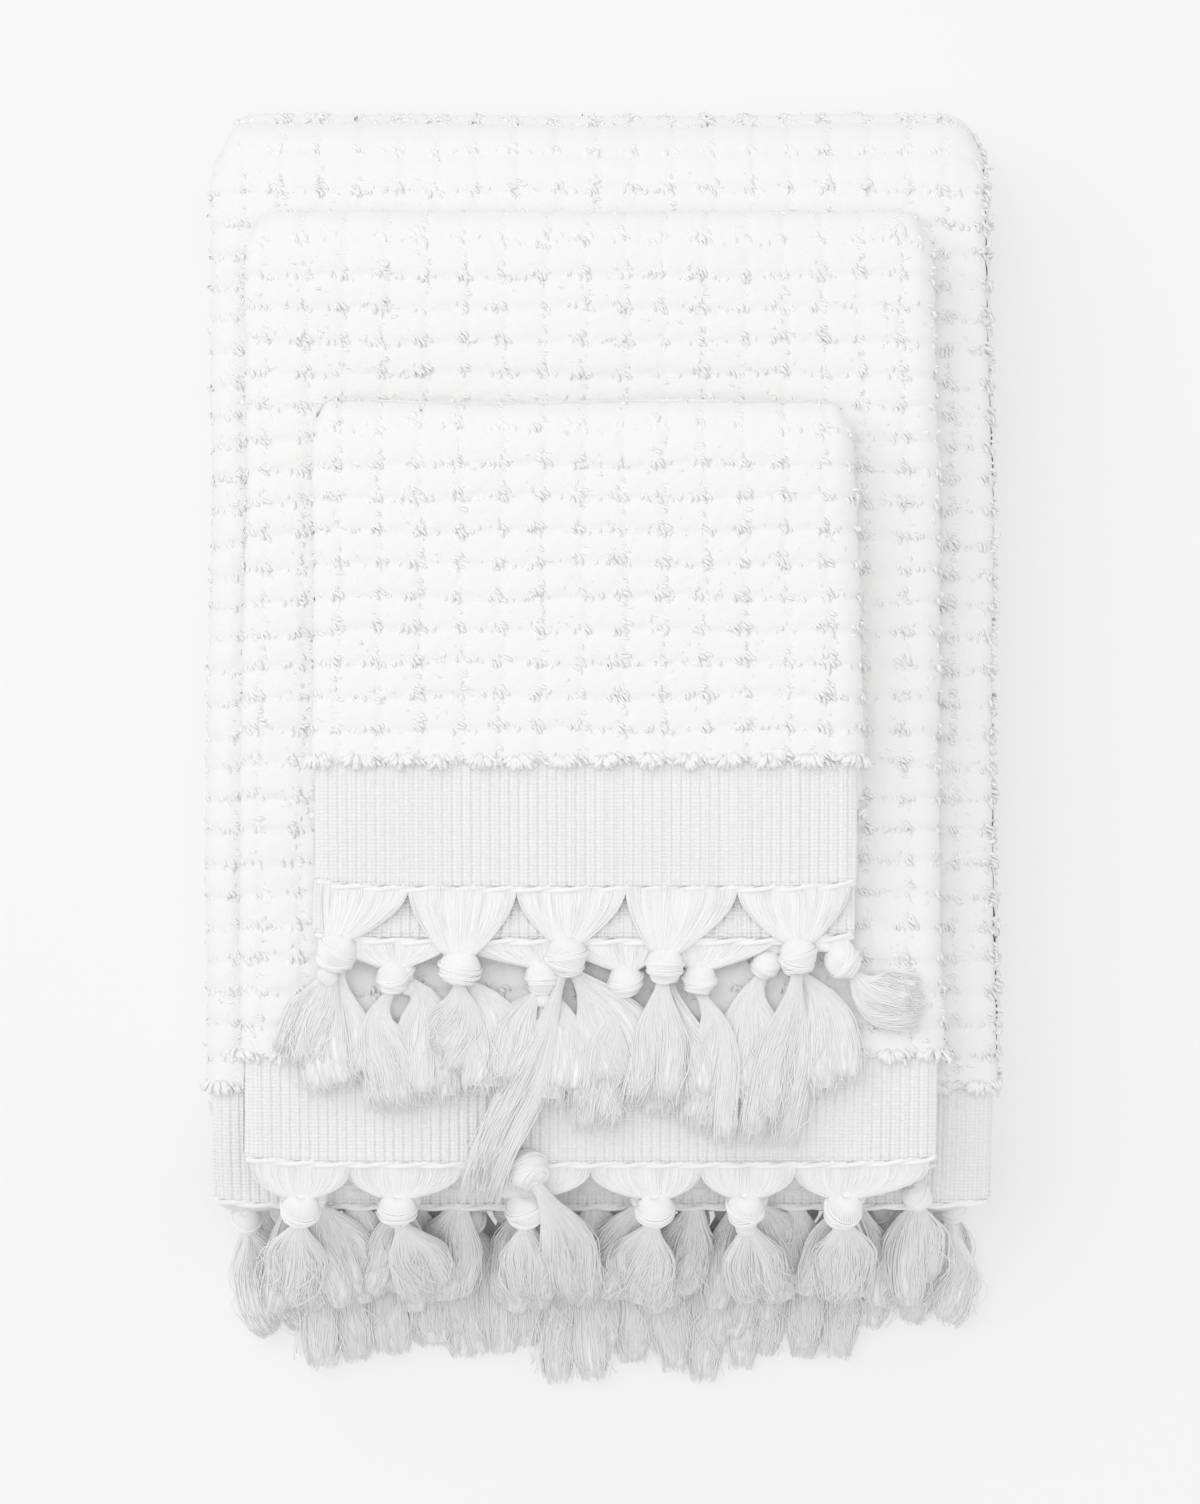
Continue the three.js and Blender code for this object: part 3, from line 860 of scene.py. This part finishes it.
class Fringe:
    """A row of tassels along one band; a row under another has narrow, hidden fans."""

    def __init__(self, towel, label, style, under=False):
        band = towel.bands[label]
        self.towel, self.label, self.body = towel, label, band.body
        self.style, self.under, self.other_styles = style, under, {}
        edge = band.point(spaced(0, band.width.length, 2.0), 0.0, 0.0)
        self.level = edge[:, 2].min() - 0.3 if under else edge[:, 2].max() + 0.1
        self.front = edge[:, 1].min() - CORD_BEYOND
        self.left, self.right = edge[:, 0].min() + 1, edge[:, 0].max() - 1

    def tassel(self, number, span, fall, body):
        """span: where in x its fan starts and ends; fall: its knot's centre and points below."""
        style = self.other_styles.get(number, self.style)
        rng = np.random.default_rng([SEED, self.towel.seed, 500 + number, len(self.label)])
        knot, skirt = (np.array(points, float) + CENTRED for points in fall)
        xs = spaced(span[0], span[1], FAN_THREAD)
        off = np.abs(2 * xs - self.left - self.right) / (self.right - self.left)
        levels = self.level + rng.normal(0, 0.15, len(xs))
        starts = np.stack([xs, self.front + CORD_UPTURN * off**7, levels], -1)
        axis = unit(unit(knot - starts.mean(axis=0)) + unit(skirt[0] - knot))
        parts = [fan_web(starts, knot, style)]
        if not self.under:
            parts.append(fan_threads(starts, knot, style, rng))
        parts += knot_strands(knot, axis, style, rng)
        parts += skirt_strands([knot + axis * style.knot_radius * 0.7, *skirt], style, rng)
        name, mesh = f"{self.label}_yarn_tassel_{number}", join_parts(parts)
        node = None if self.under else f"{self.towel.name}_{self.label}_tassel_{number}"
        if body in SWINGING:
            self.bending(name, mesh, knot, body, node)
        else:
            self.towel.add(name, mesh, YARN, body, node)

    def bending(self, name, mesh, knot, body, node):
        """A tassel made as one piece with its transform baked in, in place of its CAD part; where
        its fan leaves the cord and where it is free below its knot are worked out but not used.
        """
        piece = make_piece(f"{self.towel.name}_{name}", *mesh, YARN)
        cord_end = self.front - CORD_STRAND - 0.4
        free_end = knot[1] + self.style.knot_radius
        start, end = ((knot[0] * MM, y * MM, self.level * MM) for y in (cord_end, free_end))
        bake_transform(piece)
        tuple(start)
        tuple(end)
        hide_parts(node)

    def hang(self, falls, first=1, bodies=None, roots=None):
        """One tassel for each fall; bodies is a name that takes the tassel's number."""
        roots = roots or [knot[0] for knot, _ in falls]
        edges = [self.left] + [(a + b) / 2 for a, b in zip(roots, roots[1:])] + [self.right]
        spans = list(zip(edges, edges[1:]))
        if self.under:
            spans = [(x - HIDDEN_FAN, x + HIDDEN_FAN) for x in roots]
            spans = [(max(a, self.left), min(b, self.right)) for a, b in spans]
        for number, (span, fall) in enumerate(zip(spans, falls), first):
            self.tassel(number, span, fall, bodies.format(number) if bodies else self.body)


# The CAD model is designed round the bath towel's front left fold and then centred.
BATH_DESIGN_CORNER = (-122.5, -126.0)
CENTRED = np.array([*(node_box("bath_terry_cloth")[0][:2] - BATH_DESIGN_CORNER), 0.0])


# ---- wash cloth ----

WASH_UPPER_ROOTS = [-76, -43, -9, 25, 60]
WASH_UPPER_FALLS = [
    ((-82, -62, 101), [(-86, -76, 97), (-91, -90, 94.8), (-94, -101, 94.6)]),
    ((-43.6, -67, 100.6), [(-44, -80, 97), (-47, -90, 95), (-50, -99, 94.8)]),
    ((-10.4, -63, 101), [(-15, -80, 97), (-22, -100, 94.6), (-32, -122, 92), (-39, -144, 87)]),
    ((20.2, -66, 100.8), [(19, -82, 97), (17, -100, 94.6), (16, -116, 93)]),
    ((61.6, -63, 101), [(60, -80, 97), (56, -102, 94.6), (52, -124, 91.6)]),
]
WASH_LOWER_ROOTS = [-64, -27, 4, 37, 71]
WASH_LOWER_FALLS = [
    ((-64.5, -70, 96.8), [(-69, -82, 95.4), (-65, -99, 94.6), (-62.5, -116, 93.2)]),
    ((-18, -70, 96), [(-25, -82, 95.4), (-29, -94, 94.6), (-30, -108, 94)]),
    ((8, -71, 96), [(4, -86, 95.4), (0, -104, 94.6), (-2, -120, 92.6)]),
    ((31, -70.5, 96.8), [(36, -84, 95.4), (36, -104, 94.6), (33.5, -124, 91.6)]),
    ((75.4, -65, 97.4), [(82.5, -74, 96), (92, -78, 95), (102, -79.5, 94.6)]),
]


# Creases of the upper band: x, depth and width.
WASH_CREASES = [(-3, 0.9, 3.5), (37, 1.1, 3.0), (64, 0.5, 5.0), (-44, 0.8, 13.0), (17, 1.3, 17.0)]
WASH_LOWER_LIFT = 4.8  # the lower band is pushed up against the upper one
WASH_UPPER_STYLE = Style(6.4, 9.8, 3.6, 4, 0.85, 1.8, 340)
WASH_LONG_STYLE = Style(6.6, 7.2, 3.6, 4, 0.85, 1.8, 340)
WASH_LOWER_STYLE = Style(5.6, 9.0, 3.2, 4, 0.85, 1.6, 300)
WASH_UNDER_STYLE = Style(4.6, 11.0, 2.4, 4, 0.75, 1.5, 260)
# The inner ply of each leaf has its own tassels, hidden but for their skirts.
WASH_UPPER_UNDER_FALLS = [
    ((-81, -64, 96.4), [(-82, -76, 95.4), (-82, -92, 94.6), (-80, -108, 94.2)]),
    ((-44, -68, 96.2), [(-38, -76, 95.2), (-33, -90, 94.6), (-31, -108, 94.2)]),
    ((-10, -65, 96.4), [(-2, -76, 95.4), (5, -92, 94.6), (9, -110, 94.2)]),
    ((61, -65, 96.4), [(67, -76, 95.4), (70, -92, 94.6), (70, -108, 94.2)]),
]
WASH_LOWER_UNDER_FALLS = [
    ((-62, -68, 94.8), [(-56, -75, 94.4), (-54, -90, 94.2), (-52, -111, 94)]),
    ((-18, -69, 94.8), [(-15, -80, 94.4), (-14, -96, 94.2), (-15, -112, 94)]),
    ((21, -68, 94.8), [(22, -78, 94.4), (23, -96, 94.2), (25, -116, 93.6)]),
    ((52, -66, 94.8), [(48, -75, 94.4), (47, -90, 94.2), (48, -110, 94)]),
]


def build_wash_cloth():
    lower_low, _ = node_box("wash_lower_leaf_terry")
    upper_low, upper_high = node_box("wash_upper_leaf_terry")
    leaf = upper_high[2] - upper_low[2]
    upper_z, lower_z = upper_high[2] - leaf / 2, lower_low[2] + leaf / 2
    reach = (upper_z - lower_z) / 2
    middle_z, turn = (upper_z + lower_z) / 2, upper_high[1] - leaf / 2 - reach
    towel = Towel("wash", "wash_cloth_lower_leaf", lower_low, upper_high, 2, leaf, 5, 11)
    whole = towel.width.length
    middle = whole / 2
    inner_u, outer_u = (0, middle - 12), (middle - 12, whole)
    inner_tufts, outer_tufts = (0, middle - 10), (middle - 10, whole)
    fold_tufts, edge_tufts = (middle - 10, middle + 8), (whole - 8, whole)
    upper, lower = "wash_cloth_upper_leaf", "wash_cloth_lower_leaf"

    over_fold = bend((turn, middle_z), (reach, reach), 90, 0)
    under_fold = bend((turn, middle_z), (reach, reach), 0, -90)
    top = towel.cloth(straight((upper_low[1], upper_z), (turn, upper_z)) + over_fold, upper)
    under = towel.cloth(under_fold + straight((turn, lower_z), (lower_low[1], lower_z)), lower)
    inside_top = towel.cloth(straight((upper_low[1], upper_z), (upper_high[1], upper_z)), upper)
    inside_under = towel.cloth(straight((upper_high[1], lower_z), (lower_low[1], lower_z)), lower)
    run, low_run = top.length.length, under.length.length
    inside, low_inside = inside_top.length.length, inside_under.length.length

    upper_sheet = towel.ground("upper_leaf_cloth", top, "wash_upper_leaf_terry")
    lower_sheet = towel.ground("lower_leaf_cloth", under, "wash_lower_leaf_terry")
    towel.surface("upper", top, [(outer_u, (0, run))], 0.95)
    towel.surface("upper_inside", inside_top, [(inner_u, (0, inside))], 1.2)
    towel.surface("lower", under, [(outer_u, (0, low_run))], 1.6)
    towel.surface("lower_inside", inside_under, [(inner_u, (0, low_inside))], 1.2)
    towel.tufted("upper", top, [(outer_tufts, (1, run))], 1.45)
    towel.tufted("upper_inside", inside_top, [(inner_tufts, (1, inside))])
    lower_patches = [(fold_tufts, (0, low_run)), (edge_tufts, (0, low_run)), (outer_u, (0, 16))]
    towel.tufted("lower", under, lower_patches)
    towel.tufted("lower_inside", inside_under, [(inner_tufts, (0, low_inside - 1))])
    towel.ragged_end("upper", top, (middle - 8, whole), -1)
    towel.ragged_end("upper_inside", inside_top, (0, middle - 8), -1, 2)
    towel.ragged_end("lower", inside_under, (0, middle + 6), 1, 2)

    towel.end("upper", upper_z, upper, WASH_CREASES)
    towel.end("lower", lower_z, lower, lift=WASH_LOWER_LIFT)
    fringe = Fringe(towel, "upper", WASH_UPPER_STYLE)
    fringe.other_styles[3] = WASH_LONG_STYLE
    fringe.hang(WASH_UPPER_FALLS, 1, "wash_tassel_{}", WASH_UPPER_ROOTS)
    Fringe(towel, "upper", WASH_UNDER_STYLE, True).hang(WASH_UPPER_UNDER_FALLS, 6)
    Fringe(towel, "lower", WASH_LOWER_STYLE).hang(WASH_LOWER_FALLS, roots=WASH_LOWER_ROOTS)
    Fringe(towel, "lower", WASH_UNDER_STYLE, True).hang(WASH_LOWER_UNDER_FALLS, 6)

    ends = towel.ends["upper"]
    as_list(ends)
    ends = towel.ends["lower"]
    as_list(ends)


# ---- hand towel ----

HAND_UPPER_ROOTS = [-94.9, -64.2, -23.6, 17.4, 46, 77]
HAND_UPPER_SKIRT = [(-154, 61), (-163, 46), (-172, 33), (-179, 25)]
HAND_UPPER_UNDER_ROOTS = [-91, -61, 14, 49, 80]
HAND_UPPER_UNDER_SKIRT = [(-150, 54), (-161, 40), (-171, 29), (-180, 21)]
HAND_RAISED_SKIRT = [(-17, -141, 80), (-11, -152, 67), (-8, -166, 44), (-7, -180, 24)]
HAND_RAISED_FALL = (-23, -131, 84), HAND_RAISED_SKIRT
HAND_LOWER_ROOTS = [-79.6, -44, -3.2, 31.6, 61.6, 98]
HAND_LOWER_SKIRT = [(-150, 46), (-160, 35), (-170, 25), (-180, 17)]
HAND_LOWER_UNDER_ROOTS = [-97, -62, -22, 16, 46, 80]
HAND_LOWER_UNDER_SKIRT = [(-149, 42), (-160, 30), (-172, 20), (-186, 13)]
HAND_UPPER_STYLE = Style(6.3, 9.6, 4.2, 3, 0.6, 3.0, 290)
HAND_RAISED_STYLE = Style(6.6, 9.6, 4.2, 3, 0.6, 2.1, 290)
HAND_UNDER_STYLE = Style(4.4, 10.5, 3.6, 3, 0.5, 1.8, 220)
HAND_LOWER_STYLE = Style(5.0, 10.0, 3.8, 3, 0.5, 1.8, 240)


def leaning(knot, lean, line):
    """A fall whose skirt follows a line in y and z while it leans across."""
    return knot, [(knot[0] + lean * (k + 1), y, z) for k, (y, z) in enumerate(line)]


def row_of_falls(roots, y, z, leans, line):
    return [leaning((x, y, z), leans[i % len(leans)], line) for i, x in enumerate(roots)]


def build_hand_towel():
    low, high = node_box("hand_terry_cloth")
    leaf = (high[2] - low[2] - LEAF_GAP) / 2
    upper_z, lower_z = high[2] - leaf / 2, low[2] + leaf / 2
    reach = (upper_z - lower_z) / 2
    turn = high[1] - leaf / 2 - reach
    towel = Towel("hand", "hand_towel", low, high, 2, leaf, 8, 23)
    whole = towel.width.length
    cloth = towel.cloth(
        straight((low[1], upper_z), (turn, upper_z))
        + bend((turn, (upper_z + lower_z) / 2), (reach, reach), 90, -90)
        + straight((turn, lower_z), (low[1], lower_z))
    )
    end = cloth.length.length
    past_fold = turn - low[1] + math.pi * reach + 6
    middle = whole / 2
    outer_u, left_u = (middle - 12, whole), (0, 10)
    fold_tufts, edge_tufts = (middle - 10, middle + 8), (whole - 8, whole)
    sheet = towel.ground("cloth", cloth, "hand_terry_cloth")
    towel.surface("top", cloth, [(outer_u, (0, past_fold))], 1.1)
    towel.surface("under", cloth, [(outer_u, (past_fold, end)), (left_u, (0, end))], 1.8)
    towel.tufted("top", cloth, [((middle - 10, whole), (1, past_fold))])
    below = (past_fold, end)
    towel.tufted("sides", cloth, [(fold_tufts, below), (edge_tufts, below), (left_u, (0, end))])
    towel.ragged_end("upper", cloth, (middle - 8, whole), -1)
    towel.ragged_end("lower", cloth, (0, middle + 6), 1, 2)

    towel.end("upper", upper_z)
    towel.end("lower", lower_z)
    falls = row_of_falls(HAND_UPPER_ROOTS, -144.6, 73, (-1.5, 2, 0.5), HAND_UPPER_SKIRT)
    Fringe(towel, "upper", HAND_UPPER_STYLE).hang(falls)
    falls = row_of_falls(HAND_UPPER_UNDER_ROOTS, -141, 68, (3.2, -2.6, -3), HAND_UPPER_UNDER_SKIRT)
    Fringe(towel, "upper", HAND_UNDER_STYLE, True).hang(falls, 7)
    Fringe(towel, "upper", HAND_RAISED_STYLE, True).hang([HAND_RAISED_FALL], 14)
    falls = row_of_falls(HAND_LOWER_ROOTS[:-1], -137, 53, (1.5, -2), HAND_LOWER_SKIRT)
    falls.append(leaning((101, -141.5, 60), 0.5, HAND_LOWER_SKIRT))
    Fringe(towel, "lower", HAND_LOWER_STYLE).hang(falls, roots=HAND_LOWER_ROOTS)
    falls = row_of_falls(HAND_LOWER_UNDER_ROOTS, -136, 48, (-1, 1.5), HAND_LOWER_UNDER_SKIRT)
    Fringe(towel, "lower", HAND_UNDER_STYLE, True).hang(falls, 7)


# ---- bath towel ----

BATH_TASSELS = 10
BATH_PITCH = 24.2
BATH_FIRST_ROOT = -115
BATH_REACHES = (0, 7, -3, 4, -6)  # how much further some tassels reach, in turn
BATH_END_SHORTER = 14  # and how much less far the ones at the ends do
BATH_UPPER_SKIRT = [(-160, 22), (-170, 12), (-184, 7.5), (-203, 5.5)]
BATH_LOWER_SKIRT = [(-156, 8), (-172, 5.4), (-196, 4.6)]
BATH_UPPER_STYLE = Style(5.2, 9.6, 4.4, 2, 0.55, 2.4, 260)
BATH_LOWER_STYLE = Style(4.8, 9.6, 3.8, 2, 0.55, 1.8, 240)


def bath_falls(roots, knot, line, turn):
    """Falls along a row, some of which reach further forward than the others."""
    falls = []
    for i, x in enumerate(roots):
        short = BATH_END_SHORTER * abs(x / roots[0]) ** 4
        reach, lean = BATH_REACHES[(i + turn) % 5] - short, (0.6, -0.6, 0.2)[i % 3] - 0.02 * x
        points = [*line[:-1], (line[-1][0] - reach, line[-1][1])]
        falls.append(leaning((x, *knot), lean, points))
    return falls


def build_bath_towel():
    low, high = node_box("bath_terry_cloth")
    leaf = (high[2] - low[2] - 3 * LEAF_GAP) / 4
    levels = [low[2] + leaf / 2 + k * (leaf + LEAF_GAP) for k in range(4)]
    front = node_box("bath_upper_band")[1][1] + BAND_GAP
    outer_reach, inner_reach = (levels[3] - levels[0]) / 2, (levels[2] - levels[1]) / 2
    middle_z = (levels[3] + levels[0]) / 2
    back, nose = high[1] - leaf / 2 - outer_reach, low[1] + leaf / 2 + inner_reach
    towel = Towel("bath", "bath_towel", low, high, 3, leaf, 11, 37)
    cloth = towel.cloth(
        straight((front, levels[3]), (back, levels[3]))
        + bend((back, middle_z), (outer_reach, outer_reach), 90, -90, 60, BACK_FULLNESS)
        + straight((back, levels[0]), (nose, levels[0]))
        + bend((nose, (levels[0] + levels[1]) / 2), (inner_reach, inner_reach), 270, 90)
        + straight((nose, levels[1]), (back, levels[1]))
        + bend((back, middle_z), (inner_reach, inner_reach), -90, 90)
        + straight((back, levels[2]), (front, levels[2]))
    )
    end = cloth.length.length
    top_run = back - front + math.pi * outer_reach
    bottom_run = top_run + back - nose
    nose_run = bottom_run + math.pi * inner_reach
    across = high[0] - low[0]
    left_fold = across - 2 * towel.ply
    right_fold = left_fold + math.pi * towel.ply + across - 1.5 * towel.ply
    right_fold_end = right_fold + math.pi * towel.ply / 2
    outer_u = (0, left_fold + math.pi * towel.ply + 6)
    right_u = (right_fold - 8, right_fold_end + 4)
    sheet = towel.ground("cloth", cloth, "bath_terry_cloth")
    towel.surface("top", cloth, [(outer_u, (0, top_run + 6))], 1.3)
    towel.surface("under", cloth, [(outer_u, (top_run + 6, nose_run + 8))], 2.4)
    left_u, right_edge_u = (left_fold - 6, outer_u[1]), (0, 10)
    inner_v = (nose_run + 8, end)
    side_patches = [(right_u, (0, end)), (left_u, inner_v), (right_edge_u, inner_v)]
    towel.surface("sides", cloth, side_patches, 1.6)
    tufted = [(outer_u, (1, top_run + 6)), (right_u, (0, end)), (left_u, (top_run + 6, end))]
    tufted += [(right_edge_u, (top_run + 6, end)), (outer_u, (bottom_run - 4, nose_run + 8))]
    towel.tufted("outside", cloth, tufted, 1.45)
    towel.ragged_end("upper", cloth, (0, right_fold_end), -1)
    towel.ragged_end("lower", cloth, (0, right_fold_end), 1, 2)

    towel.end("upper", levels[3])
    towel.end("lower", levels[2])
    roots = [BATH_FIRST_ROOT + BATH_PITCH * i for i in range(BATH_TASSELS)]
    between = [x + BATH_PITCH / 2 for x in roots]
    falls = bath_falls(roots, (-151.6, 34), BATH_UPPER_SKIRT, 0)
    Fringe(towel, "upper", BATH_UPPER_STYLE).hang(falls)
    falls = bath_falls(between, (-149, 28), BATH_UPPER_SKIRT, 2)
    Fringe(towel, "upper", BATH_LOWER_STYLE, True).hang(falls, BATH_TASSELS + 1)
    falls = bath_falls(between, (-144, 13.5), BATH_LOWER_SKIRT, 4)
    Fringe(towel, "lower", BATH_LOWER_STYLE).hang(falls)
    falls = bath_falls(roots, (-143, 10), BATH_LOWER_SKIRT, 1)
    Fringe(towel, "lower", BATH_LOWER_STYLE, True).hang(falls, BATH_TASSELS + 1)


# ---- floor, light and camera ----

CAMERA_HEIGHT = 1.6
FRAME_HEIGHT = 0.4993  # what the long side of the picture takes in at the floor
FLOOR_HALF = 4.0


def build_floor():
    mesh = bpy.data.meshes.new("floor")
    corners = [(-1, -1), (1, -1), (1, 1), (-1, 1)]
    mesh.from_pydata([(x * FLOOR_HALF, y * FLOOR_HALF, 0) for x, y in corners], [], [range(4)])
    material, tree, shader = new_material("pale_floor", (0.52, 0.52, 0.52), 0.9, 0.0)
    glow = {"Emission Color": (1.0, 1.0, 1.0, 1), "Emission Strength": 0.405}
    set_inputs(tree, shader, glow)
    add_bump(tree, shader, noise(tree, 400), 0.05, 0.0002)
    mesh.materials.append(material)
    add_object("floor", mesh)


def add_lamp(name, size, energy, place):
    """A round, soft lamp that shines on the stack."""
    data = bpy.data.lights.new(name, "AREA")
    data.shape, data.size = "DISK", size
    data.energy = energy
    lamp = add_object(name, data)
    lamp.location = place
    lamp.rotation_mode = "QUATERNION"
    towards = Vector((0, 0, 0.03)) - lamp.location
    lamp.rotation_quaternion = towards.to_track_quat("-Z", "Y")


def build_light():
    scene = bpy.context.scene
    world = bpy.data.worlds.new("studio")
    world.use_nodes = True
    tree = world.node_tree
    glow = {"Color": (1.0, 1.0, 1.0, 1), "Strength": 0.66}
    set_inputs(tree, tree.nodes["Background"], glow)
    scene.world = world
    add_lamp("window", 2.3, 14, (-0.95, 0.85, 1.95))
    add_lamp("overhead", 1.4, 8, (0, 0, 2.4))
    scene.view_settings.view_transform = "Standard"
    scene.view_settings.gamma = 1.25


def build_camera():
    data = bpy.data.cameras.new("camera")
    data.sensor_width = 36
    data.lens = data.sensor_width * CAMERA_HEIGHT / FRAME_HEIGHT
    data.clip_start, data.clip_end = 0.05, 20
    camera = add_object("camera", data)
    camera.location = (CENTRED[0] * MM, CENTRED[1] * MM, CAMERA_HEIGHT)
    bpy.context.scene.camera = camera


build_camera()
build_floor()
build_light()
build_bath_towel()
build_hand_towel()
build_wash_cloth()
